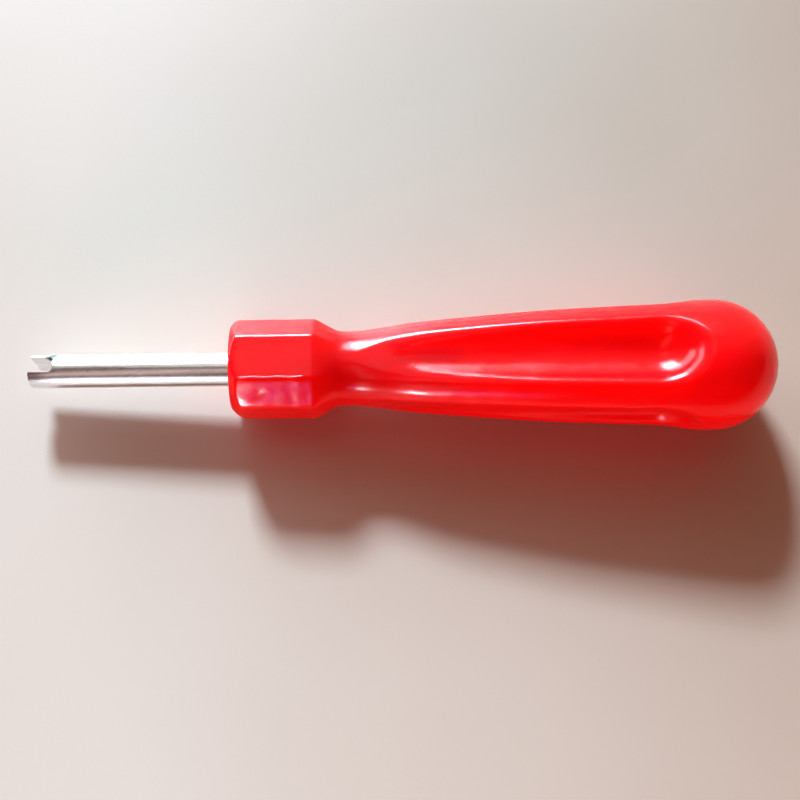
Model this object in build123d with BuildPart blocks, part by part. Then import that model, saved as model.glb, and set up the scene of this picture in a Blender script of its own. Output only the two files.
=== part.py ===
"""Valve core screwdriver: a plated steel shank with a moulded plastic handle.

Frame: millimetres. The tool's axis is the X axis, the origin is the centre of the working tip,
and the ball end of the handle points along +X. Two flats of the collar are level, so +Z is up
when the tool lies on a bench.
"""

from build123d import *
from math import cos, radians, sin, tan
import os

# Overall
overall_length = 100.3

# Shank: a round rod, drilled and slotted at the front, knurled and swaged at the rear
shank_diameter = 4.5
shank_exposed = 27.15  # length that stands out of the handle
shank_embedded = 30.0  # length that the handle is moulded round
knurl_diameter = 4.86  # over the crests of the fine straight knurl on the embedded length
tip_chamfer = 0.25
slot_width = 2.3
slot_depth = 3.4
slot_corner_radius = 0.65
slot_roll = 13.7  # degrees that the slot's direction is rolled from +Z towards +Y
bore_diameter = 2.2
bore_depth = 8.45  # to the shoulder of the drill point
drill_point_angle = 118.0
wing_span = 6.4
wing_thickness = 1.8
wing_length = 7.0
wing_setback = 4.0  # from the rod's rear end to the wings
wing_slope = 0.6

# Collar: an eight-sided prism with wide and narrow flats in turn
collar_length = 10.95
wide_flat_apothem = 6.16
narrow_flat_apothem = 6.45
collar_edge_radius = 0.8
front_bevel = 0.5  # on a wide flat, cut as a 45 degree cone, so it is larger at the corners

# Neck and grip: distances from the tip, and radii there
neck_x = 43.2
neck_radius = 5.0
grip_stations = [(49.2, 5.88), (55.6, 6.69), (62.9, 7.36), (70.1, 7.91), (77.8, 8.27)]
ball_radius = 8.76

# Flutes: straight grooves with a round end, lined up with the wide flats
flute_count = 4
flute_radius = 4.75
flute_floor = 5.12  # from the tool's axis to the bottom of a groove
flute_start = 42.3
flute_end = 84.4  # centre of the round end

shank_radius = shank_diameter / 2
shank_length = shank_exposed + shank_embedded
wing_rear = shank_length - wing_setback
wing_front = wing_rear - wing_length
drill_point_length = bore_diameter / 2 / tan(radians(drill_point_angle / 2))
collar_end = shank_exposed + collar_length
ball_x = overall_length - ball_radius
flute_axis = flute_floor + flute_radius
flute_tip = flute_end + flute_radius
bevel_foot = wide_flat_apothem - front_bevel
bevel_size = 2 * front_bevel + narrow_flat_apothem - wide_flat_apothem

# Cross-sections of the tool: local x is +Y and local y is +Z
section = Plane(origin=(0, 0, 0), x_dir=(0, 1, 0), z_dir=(1, 0, 0))
slot_direction = (0, sin(radians(slot_roll)), cos(radians(slot_roll)))


def octagon_corners():
    """Corners of the collar's section, from the distances of its two kinds of flat."""
    wide = wide_flat_apothem
    half = narrow_flat_apothem / cos(radians(45)) - wide_flat_apothem
    return [
        (wide, half), (half, wide), (-half, wide), (-wide, half),
        (-wide, -half), (-half, -wide), (half, -wide), (wide, -half),
    ]


with BuildPart() as shank:
    with BuildSketch(section):
        Circle(shank_radius)
    extrude(amount=shank_exposed)
    chamfer(shank.faces().sort_by(Axis.X)[0].edges(), tip_chamfer)
    # embedded length: knurled, with swaged wings near its end
    with BuildSketch(section.offset(shank_exposed)):
        Circle(knurl_diameter / 2)
    extrude(amount=shank_embedded)
    with BuildSketch(Plane.XY):
        with BuildLine():
            Polyline(
                (wing_front, 0), (wing_front, shank_radius),
                (wing_front + wing_slope, wing_span / 2), (wing_rear - wing_slope, wing_span / 2),
                (wing_rear, shank_radius), (wing_rear, 0), close=True,
            )
        make_face()
        mirror(about=Plane.XZ)
    extrude(amount=wing_thickness / 2, both=True)
    # blind bore with a drill point
    with BuildSketch(Plane.XY):
        with BuildLine():
            Polyline(
                (0, 0), (0, bore_diameter / 2), (bore_depth, bore_diameter / 2),
                (bore_depth + drill_point_length, 0), close=True,
            )
        make_face()
    revolve(axis=Axis.X, mode=Mode.SUBTRACT)
    # slot with rounded corners, right through the tip
    with BuildSketch(Plane(origin=(0, 0, 0), x_dir=(1, 0, 0), z_dir=slot_direction)):
        Rectangle(2 * slot_depth, slot_width)
        fillet(vertices(), slot_corner_radius)
    extrude(amount=shank_diameter, both=True, mode=Mode.SUBTRACT)

with BuildPart() as handle:
    # neck, grip and ball end, turned about the axis
    with BuildSketch(Plane.XY):
        with BuildLine():
            Line((shank_exposed, 0), (shank_exposed, neck_radius))
            Line((shank_exposed, neck_radius), (neck_x, neck_radius))
            Spline(
                (neck_x, neck_radius), *grip_stations, (ball_x, ball_radius),
                tangents=[(1, 0), (1, 0)],
            )
            RadiusArc((ball_x, ball_radius), (overall_length, 0), ball_radius)
            Line((overall_length, 0), (shank_exposed, 0))
        make_face()
    revolve(axis=Axis.X)
    # flutes that fade out towards the neck
    for turn in range(flute_count):
        groove = Plane.XZ.rotated((turn * 360 / flute_count, 0, 0))
        groove_axis = Axis(groove.from_local_coords((0, flute_axis, 0)), (1, 0, 0))
        with BuildSketch(groove):
            with BuildLine():
                Polyline(
                    (flute_tip, flute_axis), (flute_start, flute_axis),
                    (flute_start, flute_floor), (flute_end, flute_floor),
                )
                RadiusArc((flute_end, flute_floor), (flute_tip, flute_axis), -flute_radius)
            make_face()
        revolve(axis=groove_axis, mode=Mode.SUBTRACT)
    # eight-sided collar with a conical bevel at the front
    with BuildSketch(section.offset(shank_exposed)):
        Polygon(*octagon_corners(), align=None)
        fillet(vertices(), collar_edge_radius)
    extrude(amount=collar_length)
    with BuildSketch(Plane.XY):
        with BuildLine():
            Polyline(
                (shank_exposed, bevel_foot), (shank_exposed, bevel_foot + bevel_size),
                (shank_exposed + bevel_size, bevel_foot + bevel_size), close=True,
            )
        make_face()
    revolve(axis=Axis.X, mode=Mode.SUBTRACT)
    # shoulder: the eight sides run down into the round neck
    with BuildSketch(section.offset(collar_end)):
        Polygon(*octagon_corners(), align=None)
        fillet(vertices(), collar_edge_radius)
    with BuildSketch(section.offset(neck_x)):
        Circle(neck_radius)
    loft()
    # the moulding closes round the embedded end of the shank
    add(shank.part, mode=Mode.SUBTRACT)

os.makedirs("parts", exist_ok=True)
shank.part.label = "shank"
export_step(shank.part, "parts/shank.step")
handle.part.label = "handle"
export_step(handle.part, "parts/handle.step")
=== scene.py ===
"""Looks for the valve core screwdriver: red moulded handle, plated steel shank, pale bench."""

from math import asin, atan2, cos, pi, radians, sin, tan

import bmesh
import bpy
import numpy as np
from mathutils import Matrix, Vector


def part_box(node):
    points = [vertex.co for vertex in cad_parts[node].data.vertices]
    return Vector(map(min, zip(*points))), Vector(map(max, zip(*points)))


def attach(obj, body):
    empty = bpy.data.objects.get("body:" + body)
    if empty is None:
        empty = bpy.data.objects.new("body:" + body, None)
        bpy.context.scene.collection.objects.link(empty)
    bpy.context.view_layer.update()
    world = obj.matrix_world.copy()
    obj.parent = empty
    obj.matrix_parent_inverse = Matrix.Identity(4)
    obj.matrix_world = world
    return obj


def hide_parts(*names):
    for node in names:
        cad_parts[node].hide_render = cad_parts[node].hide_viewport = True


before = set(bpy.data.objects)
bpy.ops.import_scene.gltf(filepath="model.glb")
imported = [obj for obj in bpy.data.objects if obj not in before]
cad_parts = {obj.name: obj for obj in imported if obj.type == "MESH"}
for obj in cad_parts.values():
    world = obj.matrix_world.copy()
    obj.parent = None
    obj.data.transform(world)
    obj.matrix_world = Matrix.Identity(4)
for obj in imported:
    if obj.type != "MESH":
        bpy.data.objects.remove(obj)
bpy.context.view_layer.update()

MM = 0.001

# Places taken from the frame, in millimetres
handle_low, handle_high = (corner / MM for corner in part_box("handle"))
shank_rear = (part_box("shank")[1] / MM).x
collar_front = handle_low.x
overall_length = handle_high.x
ball_radius = handle_high.z
ball_x = overall_length - ball_radius

# Collar
wide_flat_apothem = 6.16
narrow_flat_apothem = 6.45
flat_sharpness = 52  # exponent that rounds the collar's long edges
collar_end = collar_front + 10.95
front_bevel = 0.5
bevel_blend = 0.22  # softness of the bevel's edge with the flats
bevel_unevenness = 0.28  # the bevel is cut deeper on one side
bevel_deep_side = -125.0  # degrees from +Z towards +Y
shoulder_start = 38.47
shoulder_run = 2.93
shoulder_edge = 0.08  # rounding of the shoulder's start and foot, as shares of its run
shoulder_foot = 0.2
flats_fade_out = (40.87, 2.2)  # where the flats start to vanish, and over what length
round_in = 0.25  # edge between the front face and the shank's hole
hole_clearance = 0.03
hole_end_gap = 0.2

# Neck, grip and flutes
neck_x = 43.2
neck_radius = 5.0
grip_stations = [(49.2, 5.88), (55.6, 6.69), (62.9, 7.36), (70.1, 7.91), (77.8, 8.27)]
flute_radius = 4.75
flute_floor = 5.12
flute_start = 42.3
flute_end = 84.4
flute_run_out = 1.5  # the round end starts this far before flute_end
flute_end_share = 0.75  # below 1, the round end is stretched along the tool
flute_edge_radius = 0.85
edge_fade_in = (42.2, 6.0)  # where that rounding starts to grow, and over what length
flute_end_edge_radius = 1.25
end_edge_fade_in = (79.3, 8.0)
least_edge_radius = 0.01
far_inside = -9.0  # stands for no flute at all

# Parting line of the mould, on two opposite ridges
parting_angles = (45.0, 225.0)  # degrees from +Z towards +Y
parting_height = 0.03
parting_width = 0.12
marks_fade = 3.0  # before the end of the ball

# A fine lip of flash along one border of the narrow flat on the near side
lip_angle = -24.3
lip_height = 0.09
lip_width = 0.12
lip_gaps = (0.9, 0.4)  # from the collar's front, and from its end
lip_taper = 0.8
lip_wander = 0.006
lip_wander_rate = 1.9  # radians per millimetre

# Sink marks on the collar's flats
sink_marks = 12  # on each flat
sink_start = 0.8  # from the collar's front
sink_spacing = 0.85
sink_sizes = (0.55, 1.2)
sink_depths = (0.012, 0.04)  # on the wide and on the narrow flats
sink_aside = 1.9  # to either side of a flat's middle

# Shank
shank_radius = 2.25
bore_radius = 1.1
bore_depth = 8.45
drill_point_angle = 118.0
bore_chamfer = 0.12
tip_chamfer = 0.15
slot_width = 2.3
slot_depth = 3.4
slot_corner_radius = 0.65
slot_roll = 13.7
edge_break = 0.05  # worn edges at the tip
worn_angle = 35.0  # edges there are worn where the faces turn by more degrees than this
sharp_angle = 38.0  # and edges anywhere are shaded as sharp
tip_lean_down = 0.2  # how much further back the end lies, for each millimetre down
tip_lean_far = 0.07  # and for each millimetre towards +Y
tip_top_y, tip_top_z = -0.66, 2.15  # the corner that reaches furthest forward
knurl_start = 28.7
knurl_radius = 2.43
knurl_root = 2.27
knurl_crests = 40
wing_radius = 3.2
wing_half_thickness = 0.9
wing_rear = shank_rear - 4.0
wing_front = wing_rear - 7.0
wing_slope = 0.6
rear_chamfer = (0.4, 0.2)  # along the rod, and across
dark_spot_place = (slot_depth - 0.1, 1.3, 1.35)  # dark spot in the slot's corner
dark_spot_radius = 1.0
dark_spot_edge = 0.4  # over which the spot fades
dark_spot_raggedness = 0.3

# Bench and camera
bench_size = 3200.0
camera_elevation = 75.5
camera_roll = 0.607
camera_distance = 200.0
camera_aim = 0.4955  # along the tool, as a share of its length
camera_aim_down = 4.31  # from the tool's axis, towards the bottom of the picture
camera_lens = 66.96

# Colours, as linear light
handle_red = (0.72, 0.004, 0.009, 1)
handle_red_light = (0.76, 0.006, 0.012, 1)
dust_brown = (0.16, 0.02, 0.015, 1)
plating = (0.93, 0.93, 0.94, 1)
plating_warm = (0.84, 0.83, 0.82, 1)
pit_brown = (0.25, 0.22, 0.18, 1)
dark_spot_green = (0.03, 0.075, 0.06, 1)
# the card's colours carry a painted fall-off of the light across the bench
card_far = ((0.53, 0.49, 0.425, 1), (0.385, 0.30, 0.235, 1))  # at the tip, and at the ball end
card_near = ((0.61, 0.57, 0.50, 1), (0.475, 0.375, 0.295, 1))
room_below = (0.09, 0.035, 0.025)
room_above = (0.09, 0.03, 0.022)
room_window_side = (0.48, 0.42, 0.27, 1)


# Shapes ---------------------------------------------------------------------------------------

def clamped_spline(points):
    """A smooth curve through the points, level at both ends, as a function of x."""
    x, y = np.array(points, float).T
    h = np.diff(x)
    n = len(x)
    a = np.zeros((n, n))
    b = np.zeros(n)
    a[0, 0] = a[-1, -1] = 1
    for i in range(1, n - 1):
        a[i, i - 1] = h[i]
        a[i, i] = 2 * (h[i - 1] + h[i])
        a[i, i + 1] = h[i - 1]
        b[i] = 3 * (h[i] * (y[i] - y[i - 1]) / h[i - 1] + h[i - 1] * (y[i + 1] - y[i]) / h[i])
    slope = np.linalg.solve(a, b)

    def value(at):
        k = np.clip(np.searchsorted(x, at) - 1, 0, n - 2)
        t = (at - x[k]) / h[k]
        rise = y[k + 1] - y[k]
        return (
            y[k] + h[k] * slope[k] * t * (1 - t) ** 2 + rise * t * t * (3 - 2 * t)
            - h[k] * slope[k + 1] * t * t * (1 - t)
        )

    return value


def smooth_min(a, b, k):
    """min(a, b), rounded over about k."""
    return 0.5 * (a + b - np.sqrt((a - b) ** 2 + k * k))


def smooth_ramp(t, k):
    """max(t, 0), rounded over about k."""
    return 0.5 * (t + np.sqrt(t * t + k * k))


def smooth_step(t):
    t = np.clip(t, 0, 1)
    return t * t * (3 - 2 * t)


def fade_in(x, start, run):
    """0 before start, 1 after start + run, and smooth between."""
    return smooth_step((x - start) / run)


grip_profile = clamped_spline([(neck_x, neck_radius), *grip_stations, (ball_x, ball_radius)])


def turned_radius(x):
    """Neck, grip and ball end before the flutes are cut."""
    grip = grip_profile(np.clip(x, neck_x, ball_x))
    ball = np.sqrt(np.maximum(ball_radius ** 2 - np.maximum(x - ball_x, 0) ** 2, 0))
    return np.where(x > ball_x, ball, grip)


def collar_radius(angle):
    """Eight flats, wide and narrow in turn, with rounded edges between them."""
    total = 0
    for k in range(8):
        apothem = wide_flat_apothem if k % 2 == 0 else narrow_flat_apothem
        total = total + (np.maximum(np.cos(angle - k * pi / 4), 0) / apothem) ** flat_sharpness
    return total ** (-1 / flat_sharpness)


def bevel_foot(angle):
    """Radius of the front face, a little smaller on the side where the bevel is deeper."""
    from_deep_side = angle - radians(bevel_deep_side)
    return wide_flat_apothem - front_bevel - bevel_unevenness * np.cos(from_deep_side)


def outer_radius(x, angle):
    """The whole handle before the flutes are cut."""
    body = turned_radius(x)
    t = (x - shoulder_start) / shoulder_run
    share = np.clip(smooth_ramp(1 - smooth_ramp(t, shoulder_edge), shoulder_foot), 0, 1)
    share = share * (1 - fade_in(x, *flats_fade_out))
    outer = body + (collar_radius(angle) - body) * share
    bevel = bevel_foot(angle) + (x - collar_front)
    return np.where(x < collar_end, smooth_min(outer, bevel, bevel_blend), outer)


def fluted_radius(x, angle):
    """Distance from the axis to the surface: the outer shape with four rounded flutes cut in."""
    outer = outer_radius(x, angle)
    turn = np.abs((angle + pi / 4) % (pi / 2) - pi / 4)  # from the nearest flute's middle
    axis_height = flute_floor + flute_radius
    past_end = np.maximum(x - flute_end + flute_run_out, 0) * flute_end_share
    edge = least_edge_radius + flute_edge_radius * fade_in(x, *edge_fade_in)
    edge = edge + (flute_end_edge_radius - flute_edge_radius) * fade_in(x, *end_edge_fade_in)

    def outside(r):
        """Above 0 outside the handle, with a rounded edge where a flute meets the outer shape."""
        a = r - outer
        across = np.hypot(r * np.cos(turn) - axis_height, r * np.sin(turn))
        in_flute = flute_radius - np.hypot(across, past_end)
        b = np.where(x < flute_start, far_inside, in_flute)
        rounded = np.hypot(np.maximum(a + edge, 0), np.maximum(b + edge, 0))
        return np.minimum(-edge, np.maximum(a, b)) + rounded

    # the surface is found by halving, from the shank out to just past the outer shape
    low = np.full(outer.shape, shank_radius)
    high = outer + 0.01
    for _ in range(34):
        middle = 0.5 * (low + high)
        inside = outside(middle) < 0
        low = np.where(inside, middle, low)
        high = np.where(inside, high, middle)
    return np.minimum(0.5 * (low + high), outer)


def moulding_marks(x, angle, r):
    """Parting line, lip of flash and sink marks, in millimetres of extra radius."""
    marks = np.zeros(np.broadcast(x, angle).shape)
    for line in parting_angles:
        away = (angle - radians(line) + pi) % (2 * pi) - pi
        marks = marks + parting_height * np.exp(-((away * r / parting_width) ** 2))
    middle = radians(lip_angle) + lip_wander * np.sin(lip_wander_rate * x)
    away = (angle - middle + pi) % (2 * pi) - pi
    front_gap, rear_gap = lip_gaps
    ends = fade_in(x, collar_front + front_gap, lip_taper)
    ends = ends * (1 - fade_in(x, collar_end - rear_gap - lip_taper, lip_taper))
    marks = marks + lip_height * ends * np.exp(-((away * r / lip_width) ** 2))
    random = np.random.default_rng(7)
    for flat in range(8):
        for mark in range(sink_marks):
            place = collar_front + sink_start + (mark + random.uniform(0, 1)) * sink_spacing
            aside = random.uniform(-sink_aside, sink_aside)
            size = random.uniform(*sink_sizes)
            amount = random.uniform(-1, 1) * sink_depths[flat % 2]
            away = (angle - flat * pi / 4 + pi) % (2 * pi) - pi
            near = np.exp(-((x - place) ** 2 + (away * r - aside) ** 2) / size ** 2)
            marks = marks + amount * near * (np.abs(away) < pi / 5)
    return marks


def mesh_object(name, rings):
    """A skin through rings of points (ring, place, xyz) in millimetres, closed at both ends."""
    rings = np.asarray(rings, float)
    count, around, _ = rings.shape
    points = list(map(tuple, rings.reshape(-1, 3)))
    here = np.arange(count * around).reshape(count, around)
    ahead = np.roll(here, -1, axis=1)
    faces = np.stack([here[:-1], here[1:], ahead[1:], ahead[:-1]], -1).reshape(-1, 4).tolist()
    for end, order in ((0, 1), (-1, -1)):
        points.append(tuple(rings[end].mean(0)))
        middle = len(points) - 1
        pairs = zip(here[end], ahead[end])
        faces += [(int(a), int(b), middle)[::order] for a, b in pairs]
    mesh = bpy.data.meshes.new(name)
    mesh.from_pydata(points, [], faces)
    mesh.update()
    shape = bmesh.new()
    shape.from_mesh(mesh)
    bmesh.ops.recalc_face_normals(shape, faces=shape.faces)
    shape.to_mesh(mesh)
    shape.free()
    obj = bpy.data.objects.new(name, mesh)
    bpy.context.scene.collection.objects.link(obj)
    return obj


def to_metres(obj):
    obj.data.transform(Matrix.Scale(MM, 4))
    obj.data.polygons.foreach_set("use_smooth", [True] * len(obj.data.polygons))
    obj.data.update()


def ring(x, r, angle):
    """Points at distance r from the axis; angle runs from +Z towards +Y."""
    x = np.broadcast_to(x, angle.shape)
    return np.stack([x, r * np.sin(angle), r * np.cos(angle)], -1)


def handle_angles():
    """Even steps round the axis, with finer ones at the parting line and at the lip."""
    degrees = set(np.arange(0, 360, 1.2).round(3))
    for line in parting_angles:
        degrees |= {line + side * step for side in (-1, 1) for step in (0.3, 0.75, 1.5)}
    degrees |= set((360 + lip_angle + np.arange(-2.3, 2.4, 0.4)).round(3))
    return np.radians(sorted(degrees))


def handle_stations():
    """Places of the rings along the tool, closest where the shape turns most."""
    bevel_end = collar_front + 1.6
    # start and end of each span, and how many rings it has
    spans = [
        (collar_front + 0.1, bevel_end, 14), (bevel_end, collar_end, 34), (collar_end, neck_x, 26),
        (neck_x, 50, 22), (50, 78, 50), (78, 83, 18), (83, ball_x, 52),
    ]
    along = [np.linspace(start, end, count, endpoint=False) for start, end, count in spans]
    over_ball = ball_x + ball_radius * np.sin(np.radians(np.linspace(0, 88.5, 44)))
    return np.concatenate([*along, over_ball])


def handle_face(angle):
    """Front face, from the blind hole that holds the shank out to the bevel."""
    hole = shank_radius + hole_clearance
    inner = hole + round_in
    foot = bevel_foot(angle)
    face = [(shank_rear + hole_end_gap, hole), (collar_front + 2.0, hole)]
    for t in np.linspace(0, pi / 2, 6):
        face.append((collar_front + round_in * (1 - sin(t)), inner - round_in * cos(t)))
    for share in np.linspace(0.1, 0.92, 8):
        face.append((collar_front, inner + share * (foot - inner)))
    face += [(collar_front + 0.02, foot - 0.1), (collar_front + 0.05, foot - 0.01)]
    return face


def make_handle():
    angle = handle_angles()
    stations = handle_stations()
    x, a = stations[:, None], angle[None, :]
    r = fluted_radius(x, a)
    r = r + moulding_marks(x, a, r) * (1 - fade_in(x, overall_length - marks_fade, marks_fade))
    rings = [ring(px, pr * np.ones_like(angle), angle) for px, pr in handle_face(angle)]
    rings += [ring(sx, sr, angle) for sx, sr in zip(stations, r)]
    handle = mesh_object("moulded_handle", rings)
    to_metres(handle)
    return handle


def shank_section(x, angle):
    """Radius of the embedded length: a straight knurl, and two wings swaged out of the rod."""
    crest = 0.5 + 0.5 * np.cos(knurl_crests * angle)
    r = knurl_root + (knurl_radius - knurl_root) * crest
    inside = min(x - wing_front, wing_rear - x)
    if inside > -0.001:  # a little slack keeps both ends of the wings
        reach = min(knurl_radius + (wing_radius - knurl_radius) * inside / wing_slope, wing_radius)
        across = np.maximum(np.abs(np.sin(angle)), 1e-3)
        thick = np.maximum(np.abs(np.cos(angle)), 1e-3)
        r = np.maximum(r, np.minimum(reach / across, wing_half_thickness / thick))
    return r


def slot_cutter():
    """A long bar with the slot's rounded section, lying across the tip."""
    corner = slot_corner_radius
    half = slot_width / 2
    outline = [(-2, -half), (slot_depth - corner, -half)]
    for quarter, middle in ((-pi / 2, -half + corner), (0, half - corner)):
        for t in np.linspace(quarter, quarter + pi / 2, 9):
            outline.append((slot_depth - corner + corner * cos(t), middle + corner * sin(t)))
    outline += [(slot_depth - corner, half), (-2, half)]
    outline = [p for i, p in enumerate(outline) if i == 0 or p != outline[i - 1]]  # no repeats
    roll = radians(slot_roll)
    along = np.array([0, sin(roll), cos(roll)])
    aside = np.array([0, cos(roll), -sin(roll)])
    rings = [
        [np.array([x, 0, 0]) + w * aside + reach * along for x, w in outline]
        for reach in (-2 * shank_radius, 2 * shank_radius)
    ]
    return mesh_object("slot_cutter", rings)


def make_shank():
    angle = np.arange(4 * knurl_crests) * 2 * pi / (4 * knurl_crests)
    point = bore_radius / tan(radians(drill_point_angle / 2))
    # from the drill point, out along the bore, over the end and back along the rod
    profile = [(bore_depth + point * (1 - k), bore_radius * k) for k in (0.02, 0.5, 1)]
    profile += [(5.0, bore_radius), (bore_chamfer, bore_radius), (0.0, bore_radius + bore_chamfer)]
    profile += [(0.0, shank_radius - tip_chamfer), (tip_chamfer, shank_radius)]
    profile += [(x, shank_radius) for x in np.linspace(4, knurl_start - 0.4, 25)]
    rings = [ring(x, r * np.ones_like(angle), angle) for x, r in profile]
    back, inward = rear_chamfer
    stations = [knurl_start, 36.0, 44.0, wing_front, wing_front + wing_slope, 49.5]
    stations += [wing_rear - wing_slope, wing_rear, wing_rear + 0.05, shank_rear - back]
    rings += [ring(x, shank_section(x, angle), angle) for x in stations]
    rings.append(ring(shank_rear, (shank_radius - inward) * np.ones_like(angle), angle))
    shank = mesh_object("plated_shank", rings)
    cutter = slot_cutter()
    cut = shank.modifiers.new("slot", "BOOLEAN")
    cut.operation = "DIFFERENCE"
    cut.solver = "EXACT"
    cut.object = cutter
    depsgraph = bpy.context.evaluated_depsgraph_get()
    shank.data = bpy.data.meshes.new_from_object(shank.evaluated_get(depsgraph))
    shank.modifiers.clear()
    bpy.data.objects.remove(cutter)
    break_edges(shank)
    lean_tip(shank)
    to_metres(shank)
    shank.data.set_sharp_from_angle(angle=radians(sharp_angle))
    weights = shank.modifiers.new("even_normals", "WEIGHTED_NORMAL")
    weights.keep_sharp = True
    return shank


def lean_tip(obj):
    """The end is cut a little out of square: the lower far side is the shortest."""
    for vertex in obj.data.vertices:
        x, y, z = vertex.co
        if x < slot_depth:
            lean = tip_lean_down * (tip_top_z - z) + tip_lean_far * (y - tip_top_y)
            vertex.co.x += max(lean, 0) * (1 - max(x, 0) / slot_depth)


def break_edges(obj):
    """Rounds the sharp edges of the tip a little, as plating and wear do."""
    shape = bmesh.new()
    shape.from_mesh(obj.data)
    bmesh.ops.remove_doubles(shape, verts=shape.verts, dist=1e-4)
    edges = [
        e for e in shape.edges
        if len(e.link_faces) == 2 and e.calc_face_angle() > radians(worn_angle)
        and max(v.co.x for v in e.verts) < slot_depth + 0.1
    ]
    bmesh.ops.bevel(
        shape, geom=edges, offset=edge_break, segments=3, profile=0.5, affect="EDGES",
        clamp_overlap=True,
    )
    bmesh.ops.recalc_face_normals(shape, faces=shape.faces)
    shape.to_mesh(obj.data)
    shape.free()


# Materials ------------------------------------------------------------------------------------

class Nodes:
    """Short calls for building a material's nodes."""

    def __init__(self, name):
        self.material = bpy.data.materials.new(name)
        self.material.use_nodes = True
        self.tree = self.material.node_tree
        self.shader = self.tree.nodes["Principled BSDF"]
        place = self.tree.nodes.new("ShaderNodeTexCoord")
        self.place = place.outputs["Object"]

    def add(self, kind, **inputs):
        node = self.tree.nodes.new(kind)
        for name, value in inputs.items():
            self.put(node.inputs[name.replace("_", " ")], value)
        return node

    def put(self, socket, value):
        if isinstance(value, bpy.types.NodeSocket):
            self.tree.links.new(value, socket)
        else:
            socket.default_value = value

    def scaled(self, per_mm):
        """Object coordinates in cycles per millimetre, along each axis."""
        node = self.add("ShaderNodeMapping", Vector=self.place)
        node.inputs["Scale"].default_value = [k / MM for k in per_mm]
        return node.outputs["Vector"]

    def noise(self, per_mm, detail=2.0, rough=0.5):
        node = self.add("ShaderNodeTexNoise", Vector=self.scaled(per_mm), Scale=1.0, Detail=detail)
        node.inputs["Roughness"].default_value = rough
        return node.outputs["Fac"]

    def remap(self, value, low, high, to_low=0.0, to_high=1.0):
        node = self.add("ShaderNodeMapRange")
        for socket, given in zip(node.inputs, (value, low, high, to_low, to_high)):
            self.put(socket, given)
        return node.outputs["Result"]

    def math(self, operation, a, b=0.0):
        node = self.add("ShaderNodeMath")
        node.operation = operation
        self.put(node.inputs[0], a)
        self.put(node.inputs[1], b)
        return node.outputs["Value"]

    def mix(self, share, a, b):
        node = self.tree.nodes.new("ShaderNodeMix")
        node.data_type = "RGBA"
        self.put(node.inputs[0], share)
        self.put(node.inputs[6], a)
        self.put(node.inputs[7], b)
        return node.outputs[2]

    def bump(self, height, distance_mm, strength=1.0, under=None):
        distance = distance_mm * MM
        node = self.add("ShaderNodeBump", Height=height, Strength=strength, Distance=distance)
        if under is not None:
            self.put(node.inputs["Normal"], under)
        return node.outputs["Normal"]

    def finish(self, **inputs):
        for name, value in inputs.items():
            self.put(self.shader.inputs[name.replace("_", " ")], value)
        return self.material


def red_plastic():
    n = Nodes("red_plastic")
    flow = n.noise((0.12, 0.3, 0.3), detail=3)
    colour = n.mix(n.remap(flow, 0.35, 0.65), handle_red, handle_red_light)
    # small specks of dust, which keep to a few patches
    cells = n.add("ShaderNodeTexVoronoi", Vector=n.scaled((0.9, 0.9, 0.9)), Scale=1.0)
    specks = n.remap(cells.outputs["Distance"], 0.035, 0.055, 1.0, 0.0)
    rare = n.remap(n.noise((0.5, 0.5, 0.5)), 0.60, 0.66)
    dust = n.math("MULTIPLY", specks, rare)
    colour = n.mix(n.math("MULTIPLY", dust, 0.6), colour, dust_brown)
    # haze of wear, and fine scratches along the tool
    scratch = n.noise((0.25, 9.0, 9.0), detail=4, rough=0.7)
    haze = n.noise((0.5, 0.5, 0.5), detail=5, rough=0.6)
    rough = n.remap(haze, 0.3, 0.7, 0.13, 0.24)
    rough = n.math("ADD", rough, n.remap(scratch, 0.62, 0.75, 0.0, 0.14))
    # from broad unevenness to fine grain
    skin = n.bump(n.noise((0.55, 0.55, 0.55), detail=1), 0.05, 0.55)
    skin = n.bump(n.noise((5, 5, 5), detail=3), 0.006, 0.5, skin)
    skin = n.bump(scratch, 0.003, 0.5, skin)
    skin = n.bump(dust, 0.02, 0.6, skin)
    # red light travels furthest inside the plastic
    n.shader.subsurface_method = "RANDOM_WALK"
    return n.finish(
        Base_Color=colour, Roughness=rough, Normal=skin, IOR=1.5, Subsurface_Weight=1.0,
        Subsurface_Radius=(1.0, 0.04, 0.04), Subsurface_Scale=14.0 * MM,
    )


def plated_steel():
    n = Nodes("plated_steel")
    # lines along the drawn rod, clouds in the plating, and small pits
    drawn = n.noise((0.12, 14.0, 14.0), detail=4, rough=0.65)
    cloud = n.noise((0.35, 0.8, 0.8), detail=4, rough=0.6)
    colour = n.mix(n.remap(cloud, 0.35, 0.7), plating, plating_warm)
    pits_at = n.noise((3.0, 3.0, 3.0), detail=5, rough=0.75)
    pits = n.remap(pits_at, 0.66, 0.78)
    colour = n.mix(n.math("MULTIPLY", pits, 0.5), colour, pit_brown)
    # a ragged dark green spot in the slot's corner
    away = n.add("ShaderNodeVectorMath")
    away.operation = "DISTANCE"
    n.put(away.inputs[0], n.place)
    away.inputs[1].default_value = [k * MM for k in dark_spot_place]
    raggedness = dark_spot_raggedness * MM
    ragged = n.remap(pits_at, 0.3, 0.7, -raggedness, raggedness)
    ragged = n.math("ADD", away.outputs["Value"], ragged)
    solid_radius = (dark_spot_radius - dark_spot_edge) * MM
    dark_spot = n.remap(ragged, solid_radius, dark_spot_radius * MM, 0.9, 0.0)
    colour = n.mix(dark_spot, colour, dark_spot_green)
    rough = n.remap(drawn, 0.3, 0.75, 0.20, 0.32)
    rough = n.math("ADD", rough, n.math("MULTIPLY", dark_spot, 0.4))
    rough = n.math("ADD", rough, n.math("MULTIPLY", pits, 0.2))
    skin = n.bump(drawn, 0.006, 0.5)
    skin = n.bump(n.noise((1.2, 2.4, 2.4), detail=2), 0.02, 0.35, skin)
    skin = n.bump(pits, 0.01, 0.5, skin)
    return n.finish(Base_Color=colour, Metallic=1.0, Roughness=rough, Normal=skin)


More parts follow.
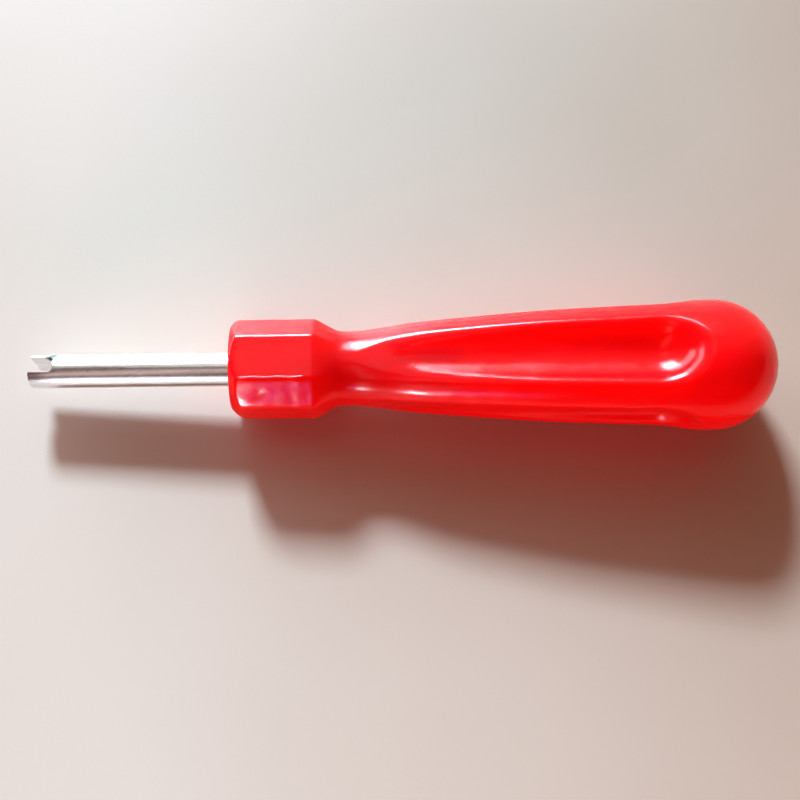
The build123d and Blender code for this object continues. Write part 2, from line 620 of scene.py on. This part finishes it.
def pale_card():
    n = Nodes("pale_card")
    tone = n.noise((0.02, 0.02, 0.02), detail=2)
    at = n.add("ShaderNodeSeparateXYZ", Vector=n.place).outputs
    # painted fall-off of the light: darker and warmer towards the ball end, and darker on the far
    # side
    painted_falloff_and_tone = n.math("ADD", n.remap(at["X"], -0.02, 0.11), n.remap(tone, 0.3, 0.7, -0.08, 0.08))
    far_side = n.mix(painted_falloff_and_tone, *card_far)
    near_side = n.mix(painted_falloff_and_tone, *card_near)
    colour = n.mix(n.remap(at["Y"], 0.05, -0.06), far_side, near_side)
    skin = n.bump(n.noise((2.0, 2.0, 2.0), detail=3), 0.02, 0.5)
    return n.finish(Base_Color=colour, Roughness=0.45, Normal=skin)


def paint(obj, material):
    obj.data.materials.clear()
    obj.data.materials.append(material)


# Stage ----------------------------------------------------------------------------------------

def floor_slope():
    """Angle in XZ of the line that touches the collar's lower front edge and the ball end."""
    rest_x = collar_front + front_bevel
    run, rise = ball_x - rest_x, wide_flat_apothem
    return atan2(rise, run) - asin(ball_radius / (run * run + rise * rise) ** 0.5)


def make_floor():
    half = bench_size / 2 * MM
    mesh = bpy.data.meshes.new("bench")
    corners = [(-half, -half, 0), (half, -half, 0), (half, half, 0), (-half, half, 0)]
    mesh.from_pydata(corners, [], [(0, 1, 2, 3)])
    bench = bpy.data.objects.new("bench", mesh)
    bpy.context.scene.collection.objects.link(bench)
    bench.location = (MM * (collar_front + front_bevel), 0, -MM * wide_flat_apothem)
    bench.rotation_euler = (0, -floor_slope(), 0)
    paint(bench, pale_card())


def soft_light(name, azimuth, elevation, distance, size, power, colour, aim=0.5):
    """An area light aimed at a point along the tool. Azimuth 0 is on the +Y side, 90 on +X.

    The distance and the two sizes are in metres, and aim is a share of the tool's length.
    """
    target = Vector((aim * overall_length * MM, 0, 0))
    a, e = radians(azimuth), radians(elevation)
    away = Vector((sin(a) * cos(e), cos(a) * cos(e), sin(e)))
    data = bpy.data.lights.new(name, "AREA")
    data.shape = "RECTANGLE"
    data.size, data.size_y = size
    data.energy = power
    data.color = colour
    light = bpy.data.objects.new(name, data)
    bpy.context.scene.collection.objects.link(light)
    light.location = target + away * distance
    light.rotation_euler = away.to_track_quat("Z", "Y").to_euler()
    return light


def make_lights():
    """A window behind the tool, weak lights in front and above for reflections, and a fill."""
    soft_light("window", -14, 31, 2.5, (0.5, 0.34), 114.5, (0.68, 0.85, 0.99))
    glare = soft_light("window_glare", -14, 31, 2.5, (1.1, 1.5), 62.0, (0.88, 0.87, 1.0))
    glare.visible_diffuse = False
    soft_light("window_wall", -40, 17, 2.6, (3.4, 1.1), 55.0, (0.87, 0.88, 1.0))
    # low and weak, on the camera's side
    soft_light("far_lamp", 191.7, 9, 0.8, (0.03, 0.03), 0.6, (0.95, 0.95, 1.0), aim=0.48)
    soft_light("far_window", 192, 17, 0.8, (0.11, 0.42), 0.17, (0.92, 0.95, 1.0), aim=0.14)
    soft_light("far_sky", 184.5, 15, 0.8, (0.09, 0.05), 0.09, (0.35, 0.21, 1.0), aim=0.32)
    # overhead
    soft_light("ceiling", 201, 62, 0.8, (0.14, 0.65), 0.2, (1.0, 0.87, 0.80), aim=0.14)
    soft_light("ceiling_lamp", -18.8, 74.7, 0.8, (0.16, 0.16), 0.055, (1.0, 0.95, 1.0), aim=0.32)
    cool = soft_light("cool_wall", -18, 57, 0.8, (0.14, 0.17), 0.03, (0.55, 0.83, 1.0), aim=0.14)
    cool.visible_diffuse = False
    # a reddish fill that evens out the shaded side, without a reflection of its own
    glow = soft_light("red_fill", 180, 10, 2.0, (2.4, 0.5), 31.0, (1.0, 0.085, 0.05))
    glow.visible_glossy = False


def make_room():
    """Dim light from all round, brightest on the window's side."""
    world = bpy.data.worlds.new("room")
    bpy.context.scene.world = world
    world.use_nodes = True
    tree = world.node_tree
    sky = tree.nodes["Background"]
    place = tree.nodes.new("ShaderNodeTexCoord")
    split = tree.nodes.new("ShaderNodeSeparateXYZ")
    tree.links.new(place.outputs["Generated"], split.inputs[0])
    ramps = {
        "Y": ((0.0, (0.0, 0.0, 0.0)), (0.8, (1.0, 1.0, 1.0))),
        "Z": ((0.0, room_below), (0.5, room_above)),
    }
    parts = []
    for axis, stops in ramps.items():
        ramp = tree.nodes.new("ShaderNodeValToRGB")
        for element, (position, colour) in zip(ramp.color_ramp.elements, stops):
            element.position, element.color = position, (*colour, 1)
        tree.links.new(split.outputs[axis], ramp.inputs["Fac"])
        parts.append(ramp.outputs["Color"])
    wall = tree.nodes.new("ShaderNodeMix")
    wall.data_type = "RGBA"
    tree.links.new(parts[0], wall.inputs[0])
    tree.links.new(parts[1], wall.inputs[6])
    wall.inputs[7].default_value = room_window_side
    tree.links.new(wall.outputs[2], sky.inputs["Color"])


def make_camera():
    """Looks down on the tool from the -Y side, with +X to the right."""
    elevation, roll = radians(camera_elevation), radians(camera_roll)
    toward = Vector((0, -cos(elevation), sin(elevation)))
    level_up = Vector((0, sin(elevation), cos(elevation)))
    right = cos(roll) * Vector((1, 0, 0)) - sin(roll) * level_up
    up = sin(roll) * Vector((1, 0, 0)) + cos(roll) * level_up
    aim = Vector((camera_aim * overall_length, 0, 0)) - camera_aim_down * up
    data = bpy.data.cameras.new("camera")
    data.lens = camera_lens
    data.sensor_width = 36
    data.clip_start, data.clip_end = 0.01, 10
    camera = bpy.data.objects.new("camera", data)
    bpy.context.scene.collection.objects.link(camera)
    turn = Matrix((right, up, toward)).transposed().to_4x4()
    camera.matrix_world = Matrix.Translation((aim + camera_distance * toward) * MM) @ turn
    bpy.context.scene.camera = camera


# The scene ------------------------------------------------------------------------------------

make_camera()
bpy.context.scene.view_settings.view_transform = "Standard"
bpy.context.scene.view_settings.look = "Medium High Contrast"
make_floor()
make_lights()
make_room()

handle = make_handle()
paint(handle, red_plastic())
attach(handle, "root")
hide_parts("handle")

shank = make_shank()
paint(shank, plated_steel())
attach(shank, "root")
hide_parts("shank")
